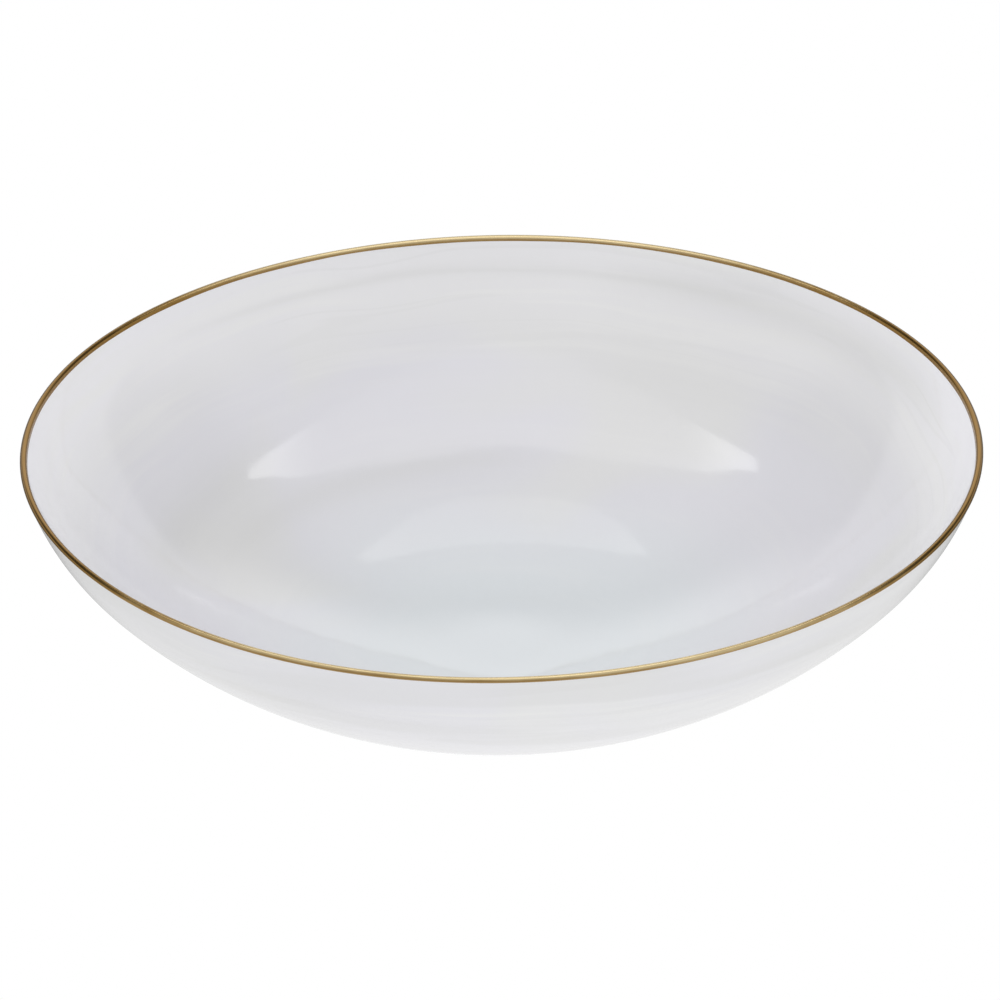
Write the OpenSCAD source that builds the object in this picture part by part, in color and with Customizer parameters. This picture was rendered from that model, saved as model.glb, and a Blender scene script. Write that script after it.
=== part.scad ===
// Wide, shallow serving bowl that rests on a flat ring: a fired white body under glossy coats,
// with a gilded lip.
//
// The wall's section is two arcs that share a tangent: a wide arc for the belly and a tighter one
// for the side. The inner face is the same pair, lifted, so the wall thins from the floor to the lip.
// All lengths are millimetres. Z = 0 is the table, and the bowl's axis is the Z axis.

/* [Bowl] */
// Outer diameter over the gilded lip
rim_d = 318; // [312:1:320]
// Radius of the wide arc of the belly
belly_r = 176; // [174:1:182]
// Radius of the flat middle of the floor, where the belly arc starts
middle_r = 12.5; // [10:0.5:16]
// How far the side arc's centre lies outside the belly arc's centre
side_out = 82.5; // [80:0.5:84]
// How far the side arc's centre lies below the belly arc's centre
side_down = 72; // [70:0.5:74]

/* [Wall] */
// Thickness of the finished wall just below the lip
lip_wall = 1.8; // [1.6:0.1:1.8]
// Radius of the rounded lip, before it is gilded
lip_r = 1; // [1:0.05:1.2]
// How far the inner face is lifted above the outer one, which sets the floor's thickness
inner_lift = 7.5; // [7:0.5:9]

/* [Base] */
// Height of the slice that the table takes off the bottom of the belly arc
base_cut = 3; // [2.5:0.5:3.5]
// Radius of the recess under the base, inside the ring that the bowl rests on
recess_r = 36; // [20:1:38]
// Depth of the recess in the bare body
recess_depth = 0.9; // [0.5:0.1:1.5]
// Height above the table at which the outer coat stops
coat_stop = 1; // [0.5:0.1:3]

/* [Coats] */
// Thickness of the glossy coats
coat_t = 0.3; // [0.2:0.05:0.4]
// Thickness of the gilding
gold_t = 0.25; // [0.2:0.05:0.35]
// How far the gilding reaches down the outside of the rounded lip, as degrees below its middle
gold_outside = 8; // [0:1:16]
// How far the gilding reaches down the inside of the rounded lip, as degrees below its middle
gold_inside = 8; // [0:1:8]

/* [Hidden] */
$fn = 240;

// Longer than any distance across the section
reach = 2 * belly_r;

// Centres of the two outer arcs. The side arc touches the belly arc from inside, where the line
// through both centres meets them.
belly_z = belly_r - base_cut;
side_r = belly_r - norm([side_out, side_down]);
side_x = middle_r + side_out;
side_z = belly_z - side_down;

// Centre of the rounded lip, which lies midway through the wall
lip_x = rim_d / 2 - gold_t - lip_r;
lip_slope = asin((lip_x - side_x) / (side_r - lip_wall / 2));
lip_z = side_z - (side_r - lip_wall / 2) * cos(lip_slope);

// How much larger than the outer arcs the inner ones are, so that they end half a wall inside
// the middle of the lip. It is rounded to a hundredth, so that both arcs keep one tangent.
lip_to_lifted_centre = norm([lip_x - side_x, side_z + inner_lift - lip_z]);
inner_grow = round(100 * (lip_to_lifted_centre - lip_wall / 2 - side_r)) / 100;

// Facets across the gilding's rounded section
gold_facets = 28;

// Points of an arc about the lip's centre, from the gilding's outer edge to its inner one
function gold_arc(radius) = [
    for (i = [0 : gold_facets])
        let (angle = -gold_outside + (180 + gold_outside + gold_inside) * i / gold_facets)
            [lip_x + radius * cos(angle), lip_z + radius * sin(angle)]
];

function reversed(list) = [for (i = [len(list) - 1 : -1 : 0]) list[i]];

// Section areas lie in the X-Y plane: X is the distance from the axis and Y is the height.

// Wedge from the side arc's centre, between the line through both arcs' centres and the horizontal
module side_wedge() {
    translate([side_x, side_z])
        polygon([[0, 0], 4 * [side_out, -side_down], [reach, 0]]);
}

// Everything inside one face of the wall, with its arcs larger by grow and lifted by lift
module inside_of_face(grow, lift = 0) {
    translate([0, lift]) {
        translate([0, belly_z - belly_r - grow]) square([middle_r, belly_r + grow]);
        difference() {
            intersection() {
                translate([middle_r, belly_z]) circle(belly_r + grow);
                translate([middle_r, belly_z - reach]) square(reach);
            }
            difference() {
                side_wedge();
                translate([side_x, side_z]) circle(side_r + grow);
            }
        }
    }
}

// The rest of the section's plane, outside that face
module outside_of_face(grow) {
    difference() {
        translate([0, -reach]) square([reach, 2 * reach]);
        inside_of_face(grow);
    }
}

// The finished wall with its rounded lip, with a skin of this thickness taken off both faces
module wall_section(skin = 0) {
    difference() {
        inside_of_face(-skin);
        inside_of_face(inner_grow + skin, inner_lift);
        translate([0, -reach]) square(reach);
        translate([lip_x, lip_z]) rotate(lip_slope) translate([0, -reach / 2]) square(reach);
    }
    translate([lip_x, lip_z]) circle(lip_r - skin);
}

// Both coats at once, on the inside and the outside
module coat_section() {
    difference() {
        wall_section();
        wall_section(coat_t);
    }
}

// Sub-parts

// White body under the coats, with a flat ring to rest on and a shallow recess inside the ring
module bowl_body() {
    color([0.94, 0.94, 0.95]) rotate_extrude() difference() {
        wall_section(coat_t);
        square([recess_r, recess_depth]);
    }
}

// Glossy coat from the middle of the floor to the top of the lip
module inner_glaze() {
    color([0.86, 0.87, 0.89]) rotate_extrude() difference() {
        coat_section();
        outside_of_face(-lip_wall / 2);
    }
}

// Glossy coat from the top of the lip down to its edge just above the table
module outer_glaze() {
    color([0.90, 0.90, 0.91]) rotate_extrude() difference() {
        coat_section();
        inside_of_face(-lip_wall / 2);
        square([rim_d, coat_stop]);
    }
}

// Glossy coat on the recess's ceiling, clear of the table
module base_glaze() {
    color([0.86, 0.87, 0.89]) translate([0, 0, recess_depth - coat_t])
        cylinder(h = coat_t, r = recess_r);
}

// Gilded band around the lip, over both coats
module gold_rim() {
    color([0.72, 0.57, 0.30]) rotate_extrude()
        polygon(concat(gold_arc(lip_r + gold_t), reversed(gold_arc(lip_r))));
}

bowl_body();
inner_glaze();
outer_glaze();
base_glaze();
gold_rim();
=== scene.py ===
"""Wide, shallow serving bowl of cloudy white ware with a gilded lip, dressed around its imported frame.

The bowl stands on z = 0 with its axis on z, in metres. Its section is two arcs with one tangent, a
wide one for the belly and a tighter one for the side, and every piece is a strip of that section
carried round the axis. One hand-made unevenness bends all the pieces together, so they stay in touch.
"""

from __future__ import annotations

import functools
import logging
import math
import operator
from collections.abc import Mapping, Sequence
from dataclasses import dataclass
from enum import Enum
from typing import Any

import bpy
import numpy as np
from mathutils import Matrix, Vector


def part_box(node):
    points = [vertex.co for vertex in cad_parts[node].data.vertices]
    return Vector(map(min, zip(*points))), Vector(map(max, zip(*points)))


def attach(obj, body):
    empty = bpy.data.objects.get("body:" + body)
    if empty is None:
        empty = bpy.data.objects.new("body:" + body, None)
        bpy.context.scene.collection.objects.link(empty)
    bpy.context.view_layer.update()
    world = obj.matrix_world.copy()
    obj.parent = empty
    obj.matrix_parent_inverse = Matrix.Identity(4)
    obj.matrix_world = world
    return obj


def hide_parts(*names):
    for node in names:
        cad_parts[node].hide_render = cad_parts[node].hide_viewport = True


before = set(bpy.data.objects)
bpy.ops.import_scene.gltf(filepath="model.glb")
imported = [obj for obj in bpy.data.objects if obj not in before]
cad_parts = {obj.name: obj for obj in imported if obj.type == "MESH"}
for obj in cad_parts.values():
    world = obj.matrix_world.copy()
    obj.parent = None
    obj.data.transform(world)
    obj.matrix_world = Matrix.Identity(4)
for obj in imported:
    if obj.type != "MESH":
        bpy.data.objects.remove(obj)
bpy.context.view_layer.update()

MM = 0.001
BODY = "root"
TURN = 2.0 * math.pi
WALL_RISE = 0.8
SHARP = math.radians(48)

log = logging.getLogger("bowl")

Array = np.ndarray
Colour = tuple[float, float, float]
Span = tuple[float, float]


# Shape


@dataclass(frozen=True)
class Section:
    """The wall's section, worked out from the gilded rim and a few driving sizes.

    Slope is the angle between a face and the horizontal: 0 at the middle of the floor, and about 73
    degrees at the lip. A point of an arc lies at its centre plus its radius times (sin, -cos) of
    the slope.
    """

    rim_r: float
    belly_r: float = 176 * MM
    middle_r: float = 12.5 * MM
    side_out: float = 82.5 * MM
    side_down: float = 72 * MM
    base_cut: float = 3 * MM
    inner_lift: float = 7.5 * MM
    lip_wall: float = 1.8 * MM
    lip_r: float = 1 * MM
    swell_run: float = 1.6 * MM
    coat_t: float = 0.3 * MM
    gold_t: float = 0.25 * MM

    @property
    def belly_z(self) -> float:
        """Height of the belly arc's centre."""
        return self.belly_r - self.base_cut

    @property
    def side_r(self) -> float:
        """Radius of the side arc, which touches the belly arc from inside."""
        return self.belly_r - math.hypot(self.side_out, self.side_down)

    @property
    def side_x(self) -> float:
        """Distance of the side arc's centre from the axis."""
        return self.middle_r + self.side_out

    @property
    def side_z(self) -> float:
        """Height of the side arc's centre."""
        return self.belly_z - self.side_down

    @property
    def join(self) -> float:
        """Slope where the belly arc passes into the side arc."""
        return math.atan2(self.side_out, self.side_down)

    @property
    def lip_x(self) -> float:
        """Distance of the rounded lip's centre from the axis."""
        return self.rim_r - self.gold_t - self.lip_r

    @property
    def outer_end(self) -> float:
        """Slope at which the outer face runs into the lip."""
        return math.asin((self.lip_x - self.side_x) / (self.side_r - self.lip_wall / 2))

    @property
    def lip_z(self) -> float:
        """Height of the rounded lip's centre."""
        return self.side_z - (self.side_r - self.lip_wall / 2) * math.cos(self.outer_end)

    @property
    def rim_z(self) -> float:
        """Height of the gilded lip."""
        return self.lip_z + self.lip_r + self.gold_t

    @property
    def inner_end(self) -> float:
        """Slope at which the inner face runs into the lip."""
        return math.atan2(self.lip_x - self.side_x, self.side_z + self.inner_lift - self.lip_z)

    @property
    def inner_grow(self) -> float:
        """How much larger the inner arcs are than the outer ones."""
        reach = math.hypot(self.lip_x - self.side_x, self.side_z + self.inner_lift - self.lip_z)
        return reach - self.lip_wall / 2 - self.side_r

    def place_at(self, height: float, skin: float) -> float:
        """Place along the outline where the outer belly passes a height.

        Args:
            height: height above the table.
            skin: thickness taken off the face.

        Returns:
            The place, between 2 and 3.
        """
        slope = math.acos((self.belly_z - height) / (self.belly_r - skin))
        return 3 - slope / self.outer_end

    def face(self, slope: Array, skin: Array | float, inner: bool) -> tuple[Array, Array]:
        """Points of one face of the wall.

        The wall swells from its own half thickness to the lip's radius as a bell curve of the
        distance to the lip, so the face meets the rounded lip without a step.

        Args:
            slope: slopes of the points, in radians.
            skin: thickness taken off the wall there.
            inner: True for the inner face.

        Returns:
            Distances from the axis, and heights.
        """
        end = self.inner_end if inner else self.outer_end
        run = (end - slope) * self.side_r / self.swell_run
        swell = (self.lip_r - self.lip_wall / 2) * np.exp(-(run**2))
        outwards = self.inner_grow + skin - swell if inner else swell - skin
        on_side = slope > self.join
        radius = np.where(on_side, self.side_r, self.belly_r) + outwards
        centre_x = np.where(on_side, self.side_x, self.middle_r)
        centre_z = np.where(on_side, self.side_z, self.belly_z) + (self.inner_lift if inner else 0.0)
        return centre_x + radius * np.sin(slope), centre_z - radius * np.cos(slope)

    def outline(self, v: Array, skin: Array | float) -> tuple[Array, Array]:
        """Points of the wall's outline: up the inner face, over the lip and down the outer face.

        Args:
            v: place along the outline. -1 to 0 crosses the flat middle, 0 to 1 goes up the inner
                face, 1 to 2 goes over the lip as an arc about its centre, and 2 to 3 goes down the
                outer face, each evenly.
            skin: thickness taken off the wall there; a negative skin is laid on.

        Returns:
            Distances from the axis, and heights.
        """
        inner = self.face(np.clip(v, 0, 1) * self.inner_end, skin, True)
        outer = self.face((3 - np.clip(v, 2, 3)) * self.outer_end, skin, False)
        start, stop = self.inner_end + math.pi / 2, self.outer_end - math.pi / 2
        angle = start + (stop - start) * np.clip(v - 1, 0, 1)
        nose_x = self.lip_x + (self.lip_r - skin) * np.cos(angle)
        nose_z = self.lip_z + (self.lip_r - skin) * np.sin(angle)
        r = np.where(v <= 1, inner[0] * np.clip(v + 1, 0, 1), np.where(v < 2, nose_x, outer[0]))
        z = np.where(v <= 1, inner[1], np.where(v < 2, nose_z, outer[1]))
        return r, z


@dataclass(frozen=True)
class Hand:
    """What the maker's hand left on the bowl: it is a little out of round, and its faces ripple."""

    rim_r: float
    rim_z: float
    oval: tuple[float, ...] = (0.0, 0.30 * MM, 0.16 * MM, 0.08 * MM)
    sway: tuple[float, ...] = (0.0, 0.24 * MM, 0.18 * MM, 0.12 * MM, 0.07 * MM)
    ring: float = 0.010 * MM
    ring_wave: float = 11 * MM
    ring_drift: tuple[float, ...] = (1.9, 1.3, 0.9)
    second_ring: float = 0.6
    second_pace: float = 0.61
    second_drift: float = -1.4
    lump: float = 0.021 * MM
    lump_wave: float = 74 * MM
    lump_count: int = 6
    lump_paces: Span = (0.7, 1.4)
    fade_r: float = 25 * MM
    fade_z: float = 9 * MM
    seed: int = 7

    def waves(self, heights: Sequence[float], turn: Array, seed: int) -> Array:
        """Sum over k of the k-th height times cos(k turn + phase), with seeded phases."""
        phases = np.random.default_rng(seed).uniform(0, TURN, len(heights))
        return sum(h * np.cos((k + 1) * turn + p) for k, (h, p) in enumerate(zip(heights, phases)))

    def bend(self, r: Array, z: Array, turn: Array) -> tuple[Array, Array]:
        """Bends points by their place: out of round as (r / rim)^3, up and down as (z / rim)^2.

        Args:
            r: distances from the axis.
            z: heights.
            turn: angles about the axis.

        Returns:
            The bent distances and heights.
        """
        oval = self.waves(self.oval, turn, self.seed) * (r / self.rim_r) ** 3
        sway = self.waves(self.sway, turn, self.seed + 1) * (z / self.rim_z) ** 2
        return r + oval, z + sway

    def relief(self, r: Array, z: Array, turn: Array) -> Array:
        """Height of the ripples on a face: fine rings round the axis, and long shallow lumps.

        The rings are cosines of the way up the wall, whose phase drifts round the bowl. The lumps
        are plane cosines over the plan. Both fade out at the axis and at the lip.

        Args:
            r: distances from the axis.
            z: heights.
            turn: angles about the axis.

        Returns:
            Heights of the ripples.
        """
        drift = self.waves(self.ring_drift, turn, self.seed + 2)
        along = (r + WALL_RISE * z) * TURN / self.ring_wave
        second = np.cos(self.second_pace * along + self.second_drift * drift)
        rings = np.cos(along + drift) + self.second_ring * second
        x, y = r * np.cos(turn), r * np.sin(turn)
        low, high = self.lump_paces
        draws = np.random.default_rng(self.seed + 3)
        draws = draws.uniform((0, 0, low), (TURN, TURN, high), (self.lump_count, 3))
        lumps = sum(
            np.cos((x * math.cos(way) + y * math.sin(way)) * TURN * pace / self.lump_wave + phase)
            for way, phase, pace in draws
        )
        fade = np.clip(r / self.fade_r, 0, 1) * np.clip((self.rim_z - z) / self.fade_z, 0, 1)
        return (self.ring * rings + self.lump * lumps) * fade * fade * (3 - 2 * fade)


def signed_volume(points: Array, quads: Array) -> float:
    """Volume that the quads enclose: a sixth of the sum of corner a . (b x c) over their triangles."""
    a, b, c, d = (points[quads[:, k]] for k in range(4))
    halves = np.einsum("ij,ij->i", a, np.cross(b, c)) + np.einsum("ij,ij->i", a, np.cross(c, d))
    return float(halves.sum() / 6)


def revolve(name: str, r: Array, z: Array, turn: Array, poles: bool) -> bpy.types.Object:
    """Carries a closed section round the axis and closes it.

    Row i and column j of the grid lie at (r cos turn, r sin turn, z). Each cell between two rows
    and two columns is a quad, and the columns close on themselves. With poles, the first and the
    last row are single points on the axis; otherwise the last row joins the first.

    Args:
        name: the piece's name.
        r: distances from the axis, as rows of a section by columns of a turn.
        z: heights, of the same shape.
        turn: the columns' angles, of the same shape.
        poles: True if the section starts and ends on the axis.

    Returns:
        The piece, with smooth faces that point outwards.
    """
    columns = r.shape[1]
    points = np.stack([r * np.cos(turn), r * np.sin(turn), z], axis=-1)
    ends = points[[0, -1]].mean(axis=1)
    if poles:
        points = points[1:-1]
    index = np.arange(len(points) * columns).reshape(-1, columns)
    after = np.roll(index, -1, axis=1)
    points = points.reshape(-1, 3)
    caps = []
    if poles:
        first = len(points)
        points = np.vstack([points, ends])
        quads = np.stack([index[:-1], index[1:], after[1:], after[:-1]], axis=-1).reshape(-1, 4)
        start = np.stack([np.full(columns, first), index[0], after[0]], axis=-1)
        stop = np.stack([np.full(columns, first + 1), after[-1], index[-1]], axis=-1)
        caps = np.vstack([start, stop]).tolist()
    else:
        down, slant = np.roll(index, -1, axis=0), np.roll(after, -1, axis=0)
        quads = np.stack([index, down, slant, after], axis=-1).reshape(-1, 4)
    mesh = bpy.data.meshes.new(name)
    mesh.from_pydata(points.tolist(), [], quads.tolist() + caps)
    if signed_volume(points, quads) < 0:
        mesh.flip_normals()
    mesh.polygons.foreach_set("use_smooth", np.ones(len(mesh.polygons), bool))
    mesh.set_sharp_from_angle(angle=SHARP)
    mesh.update()
    piece = bpy.data.objects.new(name, mesh)
    bpy.context.scene.collection.objects.link(piece)
    return piece


# Shading


@dataclass(frozen=True)
class Value:
    """A number that varies over a surface. Its operators add Math nodes."""

    shade: Shade
    socket: bpy.types.NodeSocket

    def _maths(self, operation: str, first: Any, second: Any) -> Value:
        """Adds one Math node."""
        return self.shade.value("ShaderNodeMath", {"operation": operation}, {0: first, 1: second})

    def __add__(self, other: Any) -> Value:
        """self + other."""
        return self._maths("ADD", self, other)

    def __mul__(self, other: Any) -> Value:
        """self * other."""
        return self._maths("MULTIPLY", self, other)

    def __sub__(self, other: Any) -> Value:
        """self - other."""
        return self._maths("SUBTRACT", self, other)

    def __rsub__(self, other: Any) -> Value:
        """other - self."""
        return self._maths("SUBTRACT", other, self)

    def __truediv__(self, other: Any) -> Value:
        """self / other."""
        return self._maths("DIVIDE", self, other)

    def __pow__(self, other: Any) -> Value:
        """self to the power of other."""
        return self._maths("POWER", self, other)

    __radd__ = __add__
    __rmul__ = __mul__

    def swing(self, size: float) -> Value:
        """(self - 0.5) * size, which turns a noise into a sway to both sides."""
        return (self - 0.5) * size


@dataclass(frozen=True)
class Shade:
    """Adds nodes to one node tree."""

    tree: bpy.types.NodeTree

    def feed(self, node: bpy.types.Node, inputs: Mapping[Any, Any]) -> None:
        """Sets or links a node's inputs, by socket name or number."""
        for key, given in inputs.items():
            source = given.socket if isinstance(given, Value) else given
            if isinstance(source, bpy.types.NodeSocket):
                self.tree.links.new(source, node.inputs[key])
            else:
                node.inputs[key].default_value = source

    def node(self, kind: str, settings: Mapping[str, Any], inputs: Mapping[Any, Any]) -> bpy.types.Node:
        """Adds a node.

        Args:
            kind: the node's type.
            settings: its settings, which are set before its inputs.
            inputs: values or links by socket name or number.

        Returns:
            The node.
        """
        made = self.tree.nodes.new(kind)
        for name, setting in settings.items():
            setattr(made, name, setting)
        self.feed(made, inputs)
        return made

    def value(
        self, kind: str, settings: Mapping[str, Any], inputs: Mapping[Any, Any], output: Any = 0
    ) -> Value:
        """Adds a node and returns one of its outputs as a number."""
        return Value(self, self.node(kind, settings, inputs).outputs[output])

    def noise(self, at: Any, scale: float, detail: float, rough: float, bend: float) -> Value:
        """Adds a noise texture.

        Args:
            at: the vector that it is read at.
            scale: features per unit.
            detail: octaves.
            rough: how strong each finer octave is.
            bend: how much the noise bends its own coordinates.

        Returns:
            The noise, about 0.5 on average.
        """
        inputs = {"Vector": at, "Scale": scale, "Detail": detail, "Roughness": rough, "Distortion": bend}
        return self.value("ShaderNodeTexNoise", {}, inputs)

    def step(self, number: Value, low: float, high: float) -> Value:
        """A smooth step from 0 at low to 1 at high; high may be the smaller one."""
        ends = {1: min(low, high), 2: max(low, high)}
        made = self.value("ShaderNodeMapRange", {"interpolation_type": "SMOOTHSTEP"}, {0: number, **ends})
        return made if low <= high else 1.0 - made

    def blend(self, share: Any, first: Any, second: Any) -> bpy.types.NodeSocket:
        """Mixes two colours: first where share is 0 and second where it is 1."""
        first, second = ((*c, 1.0) if isinstance(c, tuple) else c for c in (first, second))
        made = self.node("ShaderNodeMix", {"data_type": "RGBA"}, {0: share, 6: first, 7: second})
        return made.outputs[2]

    def vector(self, x: Any, y: Any, z: Any) -> bpy.types.NodeSocket:
        """Joins three numbers into a vector."""
        return self.node("ShaderNodeCombineXYZ", {}, {0: x, 1: y, 2: z}).outputs[0]

    def bump(self, height: Value, distance: float) -> bpy.types.NodeSocket:
        """Adds a bump of this height, in metres, and returns its normal."""
        inputs = {"Strength": 1.0, "Distance": distance, "Height": height}
        return self.node("ShaderNodeBump", {}, inputs).outputs[0]


@dataclass(frozen=True)
class Places:
    """Where a point of the bowl is, read from its Object coordinates inside a shader.

    Along is the way up the wall: the distance from the axis plus a share of the height.
    """

    shade: Shade
    point: bpy.types.NodeSocket
    x: Value
    y: Value
    z: Value
    r: Value
    along: Value

    @classmethod
    def read(cls, shade: Shade) -> Places:
        """Adds the nodes that give the point, its distance from the axis and its way up the wall."""
        point = shade.node("ShaderNodeTexCoord", {}, {}).outputs["Object"]
        split = shade.node("ShaderNodeSeparateXYZ", {}, {0: point})
        x, y, z = (Value(shade, split.outputs[k]) for k in range(3))
        r = (x * x + y * y + 1e-8) ** 0.5
        return cls(shade, point, x, y, z, r, r + z * WALL_RISE)

    @property
    def sideways(self) -> Value:
        """1 to the left and right of the axis and 0 in front of it and behind it."""
        return self.x * self.x / (self.r * self.r)


@dataclass(frozen=True)
class Grain:
    """A plain noise over the bowl.

    Args:
        scale: features per metre.
        detail: octaves.
        rough: how strong each finer octave is.
        bend: how much the noise bends its own coordinates.
    """

    scale: float
    detail: float = 3.0
    rough: float = 0.6
    bend: float = 0.0

    def read(self, places: Places) -> Value:
        """Adds the nodes for the noise, whose value is about 0.5 on average."""
        return places.shade.noise(places.point, self.scale, self.detail, self.rough, self.bend)


@dataclass(frozen=True)
class Streaks:
    """A noise drawn out into streaks that run round the bowl.

    Two of its coordinates are the direction from the axis over the length, so it is long round the
    bowl and closes on itself. The third is the way up the wall over the width, bent by a broad
    noise, so the streaks cross and part as swirls do.

    Args:
        length: a streak's length, in radians about the axis.
        width: its width, in metres.
        stray: how far the streaks stray from circles, in metres.
        shift: shifts the pattern.
        detail: octaves.
        rough: how strong each finer octave is.
        bend: how much the noise bends its own coordinates.
        sway: the broad noise.
    """

    length: float
    width: float
    stray: float
    shift: float
    detail: float = 3.0
    rough: float = 0.5
    bend: float = 0.0
    sway: Grain = Grain(13.0, detail=1.0, rough=0.5)

    def read(self, places: Places) -> Value:
        """Adds the nodes for the streaks, whose value is about 0.5 on average."""
        shade = places.shade
        along = places.along + self.sway.read(places).swing(2 * self.stray)
        x, y = (side / places.r * (1 / self.length) for side in (places.x, places.y))
        at = shade.vector(x, y, along * (1 / self.width) + self.shift)
        return shade.noise(at, 1.0, self.detail, self.rough, self.bend)


def principled(name: str) -> tuple[bpy.types.Material, Shade, bpy.types.Node]:
    """Makes a material with a Principled shader.

    Args:
        name: the material's name.

    Returns:
        The material, the means to add nodes to it, and its shader node.
    """
    material = bpy.data.materials.new(name)
    material.use_nodes = True
    return material, Shade(material.node_tree), material.node_tree.nodes["Principled BSDF"]


class Coat(Enum):
    """The glossy coats. The one inside pools and swirls in its own way, and the others are alike."""

    INSIDE = "inside"
    OUTSIDE = "outside"
    BASE = "base"


@dataclass(frozen=True)
class Plume:
    """A smoky patch in the white, long round the bowl and narrow up the wall.

    Args:
        heading: the direction of its middle about the axis, in degrees.
        span: how far it reaches to either side, in degrees.
        along: its place up the wall, as Places gives it.
        width: its half width up the wall.
        strength: how dark it is.
    """

    heading: float
    span: float
    along: float
    width: float
    strength: float

    def share(self, shade: Shade, places: Places, stray: Value) -> Value:
        """Adds the nodes for the patch, a bell across times a smooth fade round the bowl."""
        heading, span = math.radians(self.heading), math.radians(self.span)
        facing = (places.x * math.cos(heading) + places.y * math.sin(heading)) / places.r
        off = (places.along + stray - self.along) * (1 / self.width)
        return shade.step(facing, math.cos(span), 1.0) * (off * off + 1.0) ** -1.5 * self.strength


PLUMES = (
    Plume(160, 34, 141 * MM, 16 * MM, 0.50),
    Plume(122, 50, 115 * MM, 10 * MM, 0.42),
    Plume(43, 38, 209 * MM, 12 * MM, 0.60),
    Plume(38, 44, 172 * MM, 20 * MM, 0.30),
    Plume(96, 50, 209 * MM, 2.5 * MM, 0.35),
    Plume(290, 60, 190 * MM, 12 * MM, 0.30),
)


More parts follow.
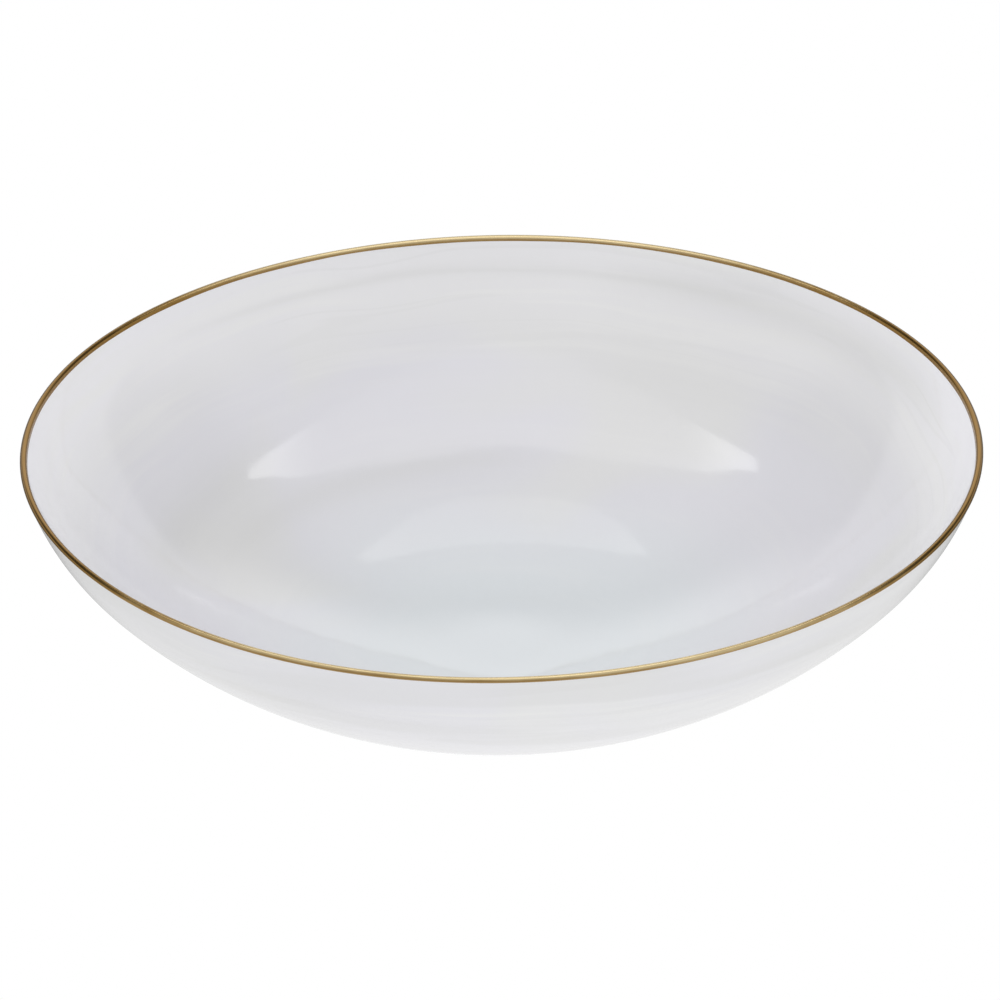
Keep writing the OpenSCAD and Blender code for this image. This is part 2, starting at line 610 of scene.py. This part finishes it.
@dataclass(frozen=True)
class CloudyWhite:
    """Glossy milk-white coat with faint swirls, cooler where it pools. A painted glow lightens it up the
    wall inside and low on the wall outside, and painted shade greys the outside to the left and right.

    Args:
        coat: which coat it is for.
    """

    coat: Coat
    milk: Colour = (0.787, 0.782, 0.826)
    neutral: Colour = (0.797, 0.796, 0.798)
    # painted glow: a lighter white that stands in for light shining through the thin wall
    painted_glow: Colour = (0.955, 0.948, 0.985)
    cloud: Colour = (0.895, 0.895, 0.880)
    # smoke: colour of the smoky swirls, and also of the painted shade on the outside to the left and right
    smoke_and_shade: Colour = (0.700, 0.700, 0.695)
    pool: Colour = (0.782, 0.822, 0.846)
    roughness: float = 0.045
    rough_swing: float = 0.05
    ior: float = 1.5
    ripple: Grain = Grain(70.0)
    ripple_depth: float = 0.02 * MM
    broad: Grain = Grain(9.0, detail=2.0, rough=0.5, bend=0.6)
    wide: Streaks = Streaks(1.1, 21 * MM, 9 * MM, 3.1, bend=0.3)
    fine: Streaks = Streaks(0.8, 4.5 * MM, 7 * MM, 8.7, rough=0.55, bend=0.3)
    thread: Streaks = Streaks(1.6, 11 * MM, 7 * MM, 5.3, detail=1.0, rough=0.4)
    # Clouds and threads, which are stronger high up the wall and fade out around the axis
    fine_share: float = 0.35
    cloud_rise: Span = (0.47, 0.66)
    cloud_share: float = 0.62
    thread_half: float = 0.0008
    thread_patches: Span = (0.42, 0.58)
    thread_share: float = 0.13
    upper_wall: Span = (150 * MM, 212 * MM)
    lower_share: float = 0.15
    from_axis: Span = (8 * MM, 45 * MM)
    # Tints
    tint_share: float = 0.9
    neutral_patches: Span = (0.52, 0.66)
    # Inside: a painted glow, lighter towards the lip and most to the left and right; pooled in the middle
    # and neutral at the top
    glow_rise: Span = (168 * MM, 226 * MM)
    glow_stray: float = 30 * MM
    glow_share_ahead: float = 0.40
    pool_fall: Span = (105 * MM, 30 * MM)
    pool_stray: float = 60 * MM
    plume_strays: Span = (9 * MM, 5 * MM)
    top_rise: Span = (168 * MM, 192 * MM)
    top_share: float = 0.75
    # Outside and under the base: a painted glow, lighter low down, and painted shade, greyer to the left
    # and right
    foot_glow_fall: Span = (250 * MM, 50 * MM)
    foot_glow_share: float = 0.95
    foot_glow_sides: float = 0.35
    pool_share: float = 0.25
    smoke_fall: Span = (0.52, 0.36)
    smoke_share: float = 0.3
    outer_side_shade: float = 0.9
    neutral_share: float = 0.3

    def inside(self, places: Places, broad: Value, sideways: Value, stray: Value) -> tuple[Value, ...]:
        """How the inner coat is coloured: it pools in the middle, and a painted glow lightens it towards
        the lip, most to the left and right.

        Args:
            places: where the point is.
            broad: the broadest noise.
            sideways: how far the point is to the left or right.
            stray: how far the patches stray up and down the wall.

        Returns:
            How strong its painted glow is, and how pooled, smoky and neutral it is.
        """
        shade = places.shade
        # painted glow: lighter towards the lip, most to the left and right
        painted_glow = shade.step(places.along + broad.swing(self.glow_stray), *self.glow_rise)
        painted_glow = painted_glow * (sideways * (1 - self.glow_share_ahead) + self.glow_share_ahead)
        pooled = shade.step(places.r + broad.swing(self.pool_stray), *self.pool_fall)
        smoke_and_shade = functools.reduce(operator.add, (plume.share(shade, places, stray) for plume in PLUMES))
        return painted_glow, pooled, smoke_and_shade, shade.step(places.along + stray, *self.top_rise) * self.top_share

    def outside(self, places: Places, broad: Value, sideways: Value, smoky: Value) -> tuple[Value, ...]:
        """How the outer coats are coloured: a painted glow lightens them low on the wall, and painted shade
        greys them to the left and right.

        Args:
            places: where the point is.
            broad: the broadest noise.
            sideways: how far the point is to the left or right.
            smoky: how smoky the streaks are there.

        Returns:
            How strong its painted glow is, how pooled it is, how smoky it is with the painted side shade,
            and how neutral it is.
        """
        # painted glow: lighter low on the wall, less to the left and right
        painted_glow = places.shade.step(places.along, *self.foot_glow_fall)
        painted_glow = painted_glow * (self.foot_glow_share - sideways * self.foot_glow_sides)
        # smoky streaks, plus painted shade that greys the left and right
        smoke_and_shade = smoky * self.smoke_share + sideways * self.outer_side_shade
        return painted_glow, broad * self.pool_share, smoke_and_shade, broad * self.neutral_share

    def material(self) -> bpy.types.Material:
        """Builds the finish: milk and pooled tints, a painted glow, clouds, and smoke with painted side
        shade, under a clear gloss.
        """
        material, shade, shader = principled(f"cloudy_white_{self.coat.value}")
        places = Places.read(shade)
        broad, wide, fine, line = (n.read(places) for n in (self.broad, self.wide, self.fine, self.thread))
        upper = shade.step(places.along, *self.upper_wall) * (1 - self.lower_share) + self.lower_share
        away = shade.step(places.r, *self.from_axis)
        sideways = places.sideways * away
        clouds = fine * self.fine_share + wide * (1 - self.fine_share)
        clouds = shade.step(clouds, *self.cloud_rise) * upper * away
        off = (line - 0.5) * (line - 0.5)
        threads = (1.0 - shade.step(off, 0.0, self.thread_half)) * upper
        threads = threads * shade.step(broad, *self.thread_patches)
        if self.coat is Coat.INSIDE:
            stray = wide.swing(self.plume_strays[0]) + fine.swing(self.plume_strays[1])
            painted_glow, pooled, smoke_and_shade, neutral = self.inside(places, broad, sideways, stray)
        else:
            smoky = shade.step(wide, *self.smoke_fall) * away
            painted_glow, pooled, smoke_and_shade, neutral = self.outside(places, broad, sideways, smoky)
        neutral = neutral + shade.step(broad, *self.neutral_patches) * (1.0 - neutral)
        white = shade.blend(neutral, self.milk, self.neutral)
        white = shade.blend(pooled * self.tint_share, white, self.pool)
        # the painted glow, blended over the white
        white = shade.blend(painted_glow * self.tint_share, white, self.painted_glow)
        white = shade.blend(clouds * self.cloud_share, white, self.cloud)
        # smoke and the painted side shade, blended over the white
        white = shade.blend(smoke_and_shade + threads * self.thread_share, white, self.smoke_and_shade)
        finish = {
            "Base Color": white,
            "Roughness": wide * away * self.rough_swing + self.roughness,
            "IOR": self.ior,
            "Normal": shade.bump(self.ripple.read(places), self.ripple_depth),
        }
        shade.feed(shader, finish)
        return material


@dataclass(frozen=True)
class Bisque:
    """Fired white body, matt and finely grained, which shows only on the ring it rests on."""

    light: Colour = (0.80, 0.79, 0.765)
    dark: Colour = (0.66, 0.64, 0.605)
    roughness: float = 0.62
    rough_swing: float = 0.2
    grain: Grain = Grain(1500.0, rough=0.65)
    grain_depth: float = 0.04 * MM
    grain_share: float = 0.3
    scuff: Streaks = Streaks(0.25, 0.9 * MM, 1.5 * MM, 0.4)
    scuff_rise: Span = (0.56, 0.72)
    scuff_share: float = 0.6

    def material(self) -> bpy.types.Material:
        """Builds the finish: grains, a few scuffs from the table and a rough surface."""
        material, shade, shader = principled("bisque")
        places = Places.read(shade)
        grain = self.grain.read(places)
        scuffs = shade.step(self.scuff.read(places), *self.scuff_rise)
        wear_and_facing_light = scuffs * self.scuff_share + grain * self.grain_share
        finish = {
            "Base Color": shade.blend(wear_and_facing_light, self.light, self.dark),
            "Roughness": grain * self.rough_swing + self.roughness,
            "Normal": shade.bump(grain, self.grain_depth),
        }
        shade.feed(shader, finish)
        return material


@dataclass(frozen=True)
class Gilding:
    """Gold lustre laid on with a brush, with painted light in its colour. Painted shade makes it darker
    brown to the left and right and low on the band in front and behind, and a painted sheen makes it paler
    in front and behind.

    Args:
        top: height of the crest.
        band: how far down the gilding reaches.
    """

    top: float
    band: float
    # pale: painted sheen, the gold's colour in front and behind
    pale: Colour = (0.84, 0.68, 0.39)
    bright: Colour = (0.62, 0.44, 0.19)
    # deep: painted shade, the gold's colour to the left and right and low on the band
    deep: Colour = (0.285, 0.155, 0.032)
    roughness: float = 0.09
    patch_rough: float = 0.10
    brush_rough: float = 0.06
    furrow: float = 0.005 * MM
    brush: Streaks = Streaks(0.10, 0.28 * MM, 0.5 * MM, 5.0, rough=0.6)
    brush_stray: float = 0.4
    brush_share: float = 0.2
    patch: Grain = Grain(60.0)
    patch_stray: float = 0.5
    # edge: painted shade low on the band, in front and behind
    edge_rise: Span = (0.30, 0.95)
    edge_share: float = 0.8
    # how the painted sheen gives way to painted shade towards the left and right
    facing_light_rise: Span = (0.15, 0.95)
    gold_side_shade: float = 0.95

    def material(self) -> bpy.types.Material:
        """Builds the finish: three golds in brushed streaks and patches, with fine furrows. The pale gold
        in front and behind is a painted sheen, and the deep gold to the sides and low on the band is
        painted shade.
        """
        material, shade, shader = principled("gilding")
        places = Places.read(shade)
        brushed = self.brush.read(places)
        patches = self.patch.read(places)
        down = (self.top - places.z) * (1 / self.band)
        # painted shade: darker low on the band
        edge = shade.step(down + brushed.swing(self.brush_stray), *self.edge_rise)
        # share that faces front or back, which gets the painted sheen instead of the painted shade of the
        # sides
        wear_and_facing_light = shade.step(1.0 - places.sideways + patches.swing(self.patch_stray), *self.facing_light_rise)
        gold = shade.blend(wear_and_facing_light, self.bright, self.pale)
        # painted shade: to the left and right, and low on the band in front and behind
        deep = edge * self.edge_share * wear_and_facing_light + (1.0 - wear_and_facing_light) * self.gold_side_shade
        gold = shade.blend(deep + brushed.swing(self.brush_share), gold, self.deep)
        finish = {
            "Base Color": gold,
            "Metallic": 1.0,
            "Roughness": patches * self.patch_rough + brushed * self.brush_rough + self.roughness,
            "Normal": shade.bump(brushed, self.furrow),
        }
        shade.feed(shader, finish)
        return material


# Pieces


class Part(Enum):
    """The pieces: each one's name, the node that it stands for and its material slot."""

    BODY = ("fired_body", "bowl_body", "white_body")
    INNER = ("inner_coat", "inner_glaze", "inner_glaze")
    OUTER = ("outer_coat", "outer_glaze", "outer_glaze")
    RECESS = ("recess_coat", "base_glaze", "base_glaze")
    LIP = ("gilded_lip", "gold_rim", "gilding")


@dataclass(frozen=True)
class Bowl:
    """The bowl's pieces: the fired body, three glossy coats and the gilded lip.

    Args:
        section: the wall's section.
        hand: the unevenness that all the pieces share.
    """

    section: Section
    hand: Hand
    columns: int = 288
    face_rows: int = 84
    lip_rows: int = 14
    floor_rows: int = 6
    disc_rows: int = 4
    lip_top: float = 1.5
    recess_r: float = 36 * MM
    recess_depth: float = 0.9 * MM
    foot_soft: float = 0.25 * MM
    coat_stop: float = 1 * MM
    gold_inside: float = 0.80 * MM
    inside_stray: float = 0.10 * MM
    inside_waves: tuple[float, ...] = (0.3, 0.5, 0.4, 0.3, 0.2, 0.3, 0.2, 0.25)
    gold_outside: float = 0.07
    outside_waves: tuple[float, ...] = (0.012, 0.009, 0.015, 0.009)
    gold_taper: float = 0.12

    @property
    def turn(self) -> Array:
        """Angles of the columns, as one row."""
        return np.linspace(0, TURN, self.columns, endpoint=False)[None, :]

    def places(self, start: float, stop: float) -> Array:
        """Places along the outline, closer together over the lip.

        Args:
            start: the first place.
            stop: the last place.

        Returns:
            The places, as one column.
        """
        knots = np.array([-1, 0, 1, 2, 3])
        counts = np.cumsum([0, self.floor_rows, self.face_rows, self.lip_rows, self.face_rows])
        first, last = np.interp([start, stop], knots, counts)
        steps = np.linspace(first, last, max(2, round(last - first) + 1))
        return np.interp(steps, counts, knots)[:, None]

    def finish(
        self, part: Part, rows: tuple[Array, Array], look: bpy.types.Material, poles: bool = False
    ) -> bpy.types.Object:
        """Args:
            part: which piece it is.
            rows: distances from the axis and heights, as rows by columns of the turn.
            look: its material.
            poles: True if the section starts and ends on the axis.

        Returns:
            The piece.
        """
        name, node, slot = part.value
        turn = np.broadcast_to(self.turn, rows[0].shape)
        r, z = self.hand.bend(rows[0], rows[1], turn)
        piece = revolve(name, r, z, turn, poles)
        piece.data.materials.append(look)
        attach(piece, BODY)
        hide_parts(node)
        log.info("%s: %d points, %d faces", name, len(piece.data.vertices), len(piece.data.polygons))
        return piece

    def wide(self, r: Array, z: Array) -> tuple[Array, Array]:
        """Spreads one column of a section over every column of the turn."""
        shape = (r.shape[0], self.columns)
        return np.broadcast_to(r, shape), np.broadcast_to(z, shape)

    def body(self) -> bpy.types.Object:
        """Builds the fired body, which the coats cover but for the ring that it rests on."""
        coat, soft = self.section.coat_t, self.foot_soft
        down = self.section.place_at(0.0, coat)
        r, z = self.section.outline(self.places(-1, down), coat)
        base_r = np.array([r[-1, 0] - soft, self.recess_r + soft, self.recess_r, self.recess_r, 0.0])
        base_z = np.array([0.0, 0.0, soft, self.recess_depth, self.recess_depth])
        r, z = np.vstack([r[:-1], base_r[:, None]]), np.vstack([z[:-1], base_z[:, None]])
        return self.finish(Part.BODY, self.wide(r, z), Bisque().material(), poles=True)

    def coat_rows(self, start: float, stop: float) -> tuple[Array, Array]:
        """Rows of a coat between two places: its skin on the way there and its back on the way back."""
        v = self.places(start, stop)
        skin_r, skin_z = self.section.outline(v, 0.0)
        back_r, back_z = self.section.outline(v[::-1], self.section.coat_t)
        return self.wide(np.vstack([skin_r, back_r]), np.vstack([skin_z, back_z]))

    def inner_coat(self) -> bpy.types.Object:
        """Builds the coat of the inside, up to the top of the lip, with ripples on its skin."""
        r, z = self.coat_rows(-1, self.lip_top)
        skin = len(r) // 2
        relief = self.hand.relief(r[:skin], z[:skin], np.broadcast_to(self.turn, r[:skin].shape))
        z = np.vstack([z[:skin] + relief, z[skin:]])
        return self.finish(Part.INNER, (r, z), CloudyWhite(Coat.INSIDE).material(), poles=True)

    def outer_coat(self) -> bpy.types.Object:
        """Builds the coat of the outside, from the top of the lip to just above the table."""
        rows = self.coat_rows(self.lip_top, self.section.place_at(self.coat_stop, 0.0))
        return self.finish(Part.OUTER, rows, CloudyWhite(Coat.OUTSIDE).material())

    def recess_coat(self) -> bpy.types.Object:
        """Builds the coat on the recess's ceiling, a thin disc with a softened edge."""
        top, coat = self.recess_depth, self.section.coat_t
        soft = coat / 4
        r = np.linspace(0, 1, self.disc_rows) * (self.recess_r - soft)
        low, high = np.full_like(r, top - coat), np.full_like(r, top)
        r = np.concatenate([r, [self.recess_r, self.recess_r], r[::-1]])
        z = np.concatenate([low, [top - coat + soft, top - soft], high])
        rows = self.wide(r[:, None], z[:, None])
        return self.finish(Part.RECESS, rows, CloudyWhite(Coat.BASE).material(), poles=True)

    def gilding(self) -> bpy.types.Object:
        """Builds the gilding, whose edges stray a little and taper off.

        Across the band the share runs from 0 to 1, and the gold's thickness rises from its edges as
        a quarter circle does.
        """
        section, hand = self.section, self.hand
        stray = self.inside_stray * hand.waves(self.inside_waves, 3 * self.turn, hand.seed + 4)
        inside = (self.gold_inside + stray) / (section.inner_end * section.side_r)
        outside = self.gold_outside + hand.waves(self.outside_waves, 2 * self.turn, 3 * hand.seed)
        share = np.linspace(0, 1, 3 * self.lip_rows)[:, None]
        v = (1 - inside) * (1 - share) + (2 - outside) * share
        taper = np.minimum(1, np.minimum(share, 1 - share) / self.gold_taper)
        least = self.gold_taper
        thick = section.gold_t * (least + (1 - least) * np.sqrt(taper * (2 - taper)))
        top_r, top_z = section.outline(v, -thick)
        back_r, back_z = section.outline(v[::-1], np.zeros_like(v))
        rows = np.vstack([top_r, back_r]), np.vstack([top_z, back_z])
        return self.finish(Part.LIP, rows, Gilding(section.rim_z, section.rim_z - section.lip_z).material())

    def build(self) -> list[bpy.types.Object]:
        """Builds every piece, from the body outwards."""
        return [self.body(), self.inner_coat(), self.outer_coat(), self.recess_coat(), self.gilding()]


# Studio


@dataclass(frozen=True)
class Softbox:
    """A flat light panel over the bowl, bent back at both ends and bounded by two curves.

    Across the panel s runs from -1 to 1, and x is s times its half width. Its front and back edges
    lie at start + rise * |s|^power.

    Args:
        name: the panel's name.
        half: half its width.
        front: start, rise and power of the front edge.
        back: start, rise and power of the back edge.
        glow: brightness over most of the panel, near its ends and along its front edge.
    """

    name: str
    half: float
    front: tuple[float, float, float]
    back: tuple[float, float, float]
    glow: tuple[float, float, float]
    height: float = 1.0
    end_fade: Span = (0.62, 0.84)
    cells: tuple[int, int] = (96, 16)

    def build(self) -> bpy.types.Object:
        """Builds the panel as a grid whose points carry their brightness, hidden from the camera."""
        across, deep = self.cells
        s = np.abs(np.linspace(-1, 1, across + 1))[None, :]
        t = np.linspace(0, 1, deep + 1)[:, None]
        front, back = (start + rise * s**power for start, rise, power in (self.front, self.back))
        x = self.half * np.linspace(-1, 1, across + 1)[None, :] + 0 * t
        y = front + (back - front) * t
        most, end, fore = self.glow
        low, high = self.end_fade
        near_end = np.clip((s - low) / (high - low), 0, 1)
        bright = most + (end - most) * near_end**2 * (3 - 2 * near_end)
        bright = fore + (bright - fore) * np.maximum(np.sqrt(t), near_end)
        points = np.stack([x, y, np.full_like(x, self.height)], axis=-1).reshape(-1, 3)
        index = np.arange(points.shape[0]).reshape(x.shape)
        quads = np.stack([index[:-1, :-1], index[1:, :-1], index[1:, 1:], index[:-1, 1:]], axis=-1)
        mesh = bpy.data.meshes.new(self.name)
        mesh.from_pydata(points.tolist(), [], quads.reshape(-1, 4).tolist())
        mesh.attributes.new("glow", "FLOAT", "POINT").data.foreach_set("value", bright.ravel())
        panel = bpy.data.objects.new(self.name, mesh)
        bpy.context.scene.collection.objects.link(panel)
        panel.visible_camera = False
        panel.visible_diffuse = False
        mesh.materials.append(self.material())
        return panel

    def material(self) -> bpy.types.Material:
        """Builds a plain white light, as bright as each point's glow."""
        material = bpy.data.materials.new(self.name)
        material.use_nodes = True
        shade = Shade(material.node_tree)
        shade.tree.nodes.clear()
        glow = shade.node("ShaderNodeAttribute", {"attribute_name": "glow"}, {}).outputs["Fac"]
        light = shade.node("ShaderNodeEmission", {}, {"Color": glow, "Strength": 1.0})
        shade.node("ShaderNodeOutputMaterial", {}, {"Surface": light.outputs[0]})
        return material


SOFTBOXES = (
    Softbox(
        "key_softbox",
        half=0.70,
        front=(-0.285, 0.845, 1.76),
        back=(0.15, 0.48, 1.43),
        glow=(1.42, 3.0, 0.95),
    ),
    Softbox(
        "back_softbox",
        half=0.30,
        front=(0.38, 0.44, 3.3),
        back=(0.645, 0.21, 2.0),
        glow=(1.30, 1.45, 1.25),
    ),
)


@dataclass(frozen=True)
class Studio:
    """White room: a white floor without shadows, an even soft sky and two softboxes.

    The soft light is even, and what the gloss mirrors is not: the room behind the bowl is dark but
    for a white sheet straight behind it.
    """

    floor_r: float = 6.0
    floor_sides: int = 96
    floor_gap: float = 0.05 * MM
    white: float = 1.0
    floor_soft: float = 0.815
    floor_lean: float = 0.19
    floor_sheen: float = 0.90
    floor_far: float = 0.25
    soft_low: float = 1.024
    soft_top: float = 0.912
    soft_lean: float = -0.064
    sheen_top: float = 0.68
    sheen_low: float = 0.64
    sheen_ahead: float = 0.40
    sheen_behind: float = 0.096
    sheen_sheet: float = 1.20
    lean_way: Span = (0.8, -0.6)
    lean_rise: Span = (-0.2, 0.6)
    near_rise: Span = (0.12, -0.06)
    overhead_rise: Span = (0.25, 0.95)
    behind_turn: Span = (0.05, 0.42)
    behind_foot: Span = (0.31, 0.36)
    behind_top: Span = (0.85, 0.60)
    ahead_turn: Span = (0.80, 0.98)
    sheet_foot: Span = (0.15, 0.40)
    sheet_top: Span = (0.66, 0.46)

    def floor(self) -> bpy.types.Object:
        """Builds the floor disc. It looks white, and lights the bowl softly from below."""
        angle = np.linspace(0, TURN, self.floor_sides, endpoint=False)
        points = np.stack([np.cos(angle), np.sin(angle), 0 * angle], axis=-1) * self.floor_r
        mesh = bpy.data.meshes.new("floor")
        mesh.from_pydata(points.tolist(), [], [list(range(self.floor_sides))])
        material = bpy.data.materials.new("floor")
        material.use_nodes = True
        shade = Shade(material.node_tree)
        shade.tree.nodes.clear()
        point = shade.node("ShaderNodeTexCoord", {}, {}).outputs["Object"]
        split = shade.node("ShaderNodeSeparateXYZ", {}, {0: point})
        x, y = (Value(shade, split.outputs[k]) for k in range(2))
        lean = x * self.lean_way[0] + y * self.lean_way[1]
        soft = shade.step(lean, *self.lean_rise) * self.floor_lean + self.floor_soft
        sheen = shade.step(y, *self.near_rise) * (self.floor_sheen - self.floor_far) + self.floor_far
        bright = self.by_ray(shade, soft, sheen)
        light = shade.node("ShaderNodeEmission", {}, {"Color": bright, "Strength": 1.0})
        shade.node("ShaderNodeOutputMaterial", {}, {"Surface": light.outputs[0]})
        mesh.materials.append(material)
        mesh.transform(Matrix.Translation((0.0, 0.0, -self.floor_gap)))
        floor = bpy.data.objects.new("floor", mesh)
        bpy.context.scene.collection.objects.link(floor)
        return floor

    def by_ray(self, shade: Shade, soft: Any, sheen: Any) -> Value:
        """Brightness by what asks for it: white where it is seen, sheen where a gloss mirrors it.

        Args:
            shade: adds the nodes.
            soft: brightness as soft light.
            sheen: brightness as mirrored.

        Returns:
            The brightness.
        """
        path = shade.node("ShaderNodeLightPath", {}, {})
        seen, mirrored = (Value(shade, path.outputs[k]) for k in ("Is Camera Ray", "Is Glossy Ray"))
        return (1.0 - mirrored) * (1.0 - seen) * soft + mirrored * sheen + seen * self.white

    def sky(self) -> None:
        """Lights the scene by direction: up is the sine of the elevation, and y points behind."""
        world = bpy.data.worlds.new("studio")
        world.use_nodes = True
        shade = Shade(world.node_tree)
        shade.tree.nodes.clear()
        way = shade.node("ShaderNodeTexCoord", {}, {}).outputs["Generated"]
        split = shade.node("ShaderNodeSeparateXYZ", {}, {0: way})
        x, y, up = (Value(shade, split.outputs[k]) for k in range(3))
        overhead = shade.step(up, *self.overhead_rise)
        soft = self.soft_low + overhead * (self.soft_top - self.soft_low) + x * self.soft_lean
        straight = y / (x * x + y * y + 1e-6) ** 0.5
        behind = shade.step(up, *self.behind_foot) * shade.step(up, *self.behind_top)
        behind = behind * shade.step(straight, *self.behind_turn)
        ahead = shade.step(straight, *self.ahead_turn)
        sheet = ahead * shade.step(up, *self.sheet_foot) * shade.step(up, *self.sheet_top)
        sheen = self.sheen_low + overhead * (self.sheen_top - self.sheen_low)
        sheen = sheen + ahead * (1.0 - overhead) * (self.sheen_ahead - sheen)
        sheen = sheen + behind * (self.sheen_behind - sheen)
        sheen = sheen + sheet * (self.sheen_sheet - sheen)
        bright = self.by_ray(shade, soft, sheen)
        sky = shade.node("ShaderNodeBackground", {}, {"Color": bright, "Strength": 1.0})
        shade.node("ShaderNodeOutputWorld", {}, {"Surface": sky.outputs[0]})
        bpy.context.scene.world = world
        bpy.context.scene.view_settings.view_transform = "Standard"

    def build(self) -> None:
        """Builds the floor, the sky and the softboxes."""
        self.floor()
        self.sky()
        for softbox in SOFTBOXES:
            softbox.build()


@dataclass(frozen=True)
class Eye:
    """The camera: far off, a little above the bowl, and turned a little about its own axis."""

    rim_z: float
    distance: float = 1.59
    elevation: float = math.radians(27.43)
    roll: float = math.radians(0.7)
    drop: float = 21.1 * MM
    pan: float = 0.66 * MM
    lens_mm: float = 172.6

    def build(self) -> bpy.types.Object:
        """Builds the camera, aimed a little below the middle of the rim."""
        forward = Vector((0.0, math.cos(self.elevation), -math.sin(self.elevation)))
        rim = Vector((0.0, 0.0, self.rim_z))
        place = rim - forward * self.distance
        level_up = Vector((1.0, 0.0, 0.0)).cross(forward)
        aim = rim - level_up * self.drop - Vector((self.pan, 0.0, 0.0))
        ahead = (aim - place).normalized()
        turned = ahead.to_track_quat("-Z", "Y").to_matrix() @ Matrix.Rotation(-self.roll, 3, "Z")
        data = bpy.data.cameras.new("camera")
        data.lens = self.lens_mm
        eye = bpy.data.objects.new("camera", data)
        eye.matrix_world = Matrix.Translation(place) @ turned.to_4x4()
        bpy.context.scene.collection.objects.link(eye)
        bpy.context.scene.camera = eye
        return eye


def main() -> None:
    """Builds the bowl, the studio and the camera."""
    logging.basicConfig(level=logging.INFO, format="%(message)s")
    section = Section(rim_r=float(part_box("gold_rim")[1][0]))
    Bowl(section, Hand(section.rim_r, section.rim_z)).build()
    Studio().build()
    Eye(section.rim_z).build()


if __name__ == "__main__":
    main()
